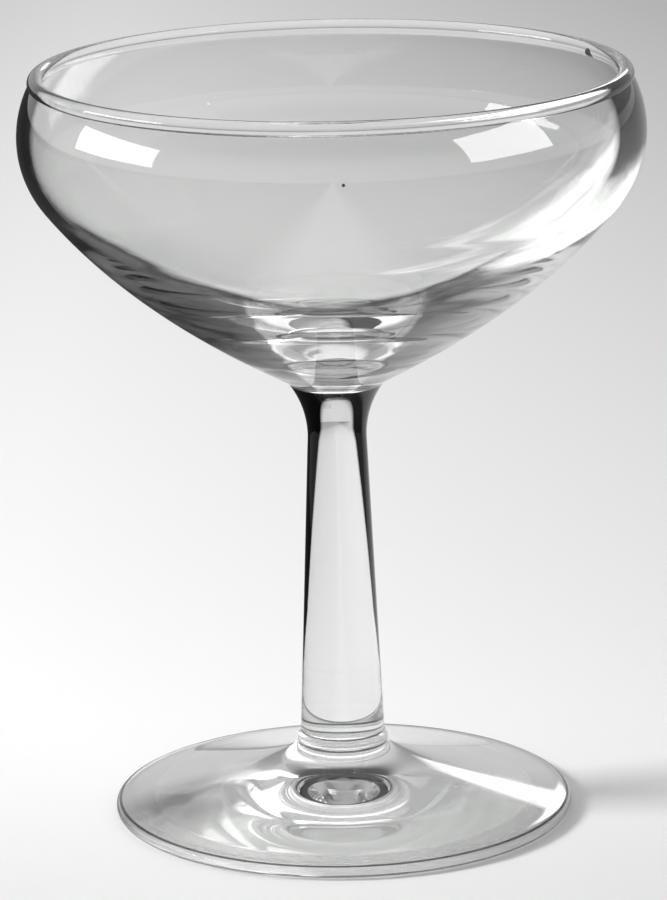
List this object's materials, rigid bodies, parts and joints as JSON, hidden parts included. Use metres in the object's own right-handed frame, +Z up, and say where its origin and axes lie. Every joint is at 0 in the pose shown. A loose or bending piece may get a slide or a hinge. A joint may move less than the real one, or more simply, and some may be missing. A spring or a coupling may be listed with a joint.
{
  "type": "sherbet glass",
  "caption": "Clear stemmed sherbet glass: wide shallow bowl with a rounded rim, thick solid bottom, tapered stem flaring under the bowl, and a round low-domed foot.",
  "frame": {"origin": "on the table, under the glass's axis", "axes": "+Z up along the axis of the stem; the glass is the same all round"},
  "size_m": [0.0932, 0.0932, 0.1145],
  "materials": {
    "bowl_glass": "fire-polished clear",
    "stem_glass": "fire-polished clear",
    "foot_glass": "fire-polished clear, lightly worn"
  },
  "bodies": {
    "root": {"bowl": "bowl_glass", "stem": "stem_glass", "foot": "foot_glass"}
  },
  "joints": []
}
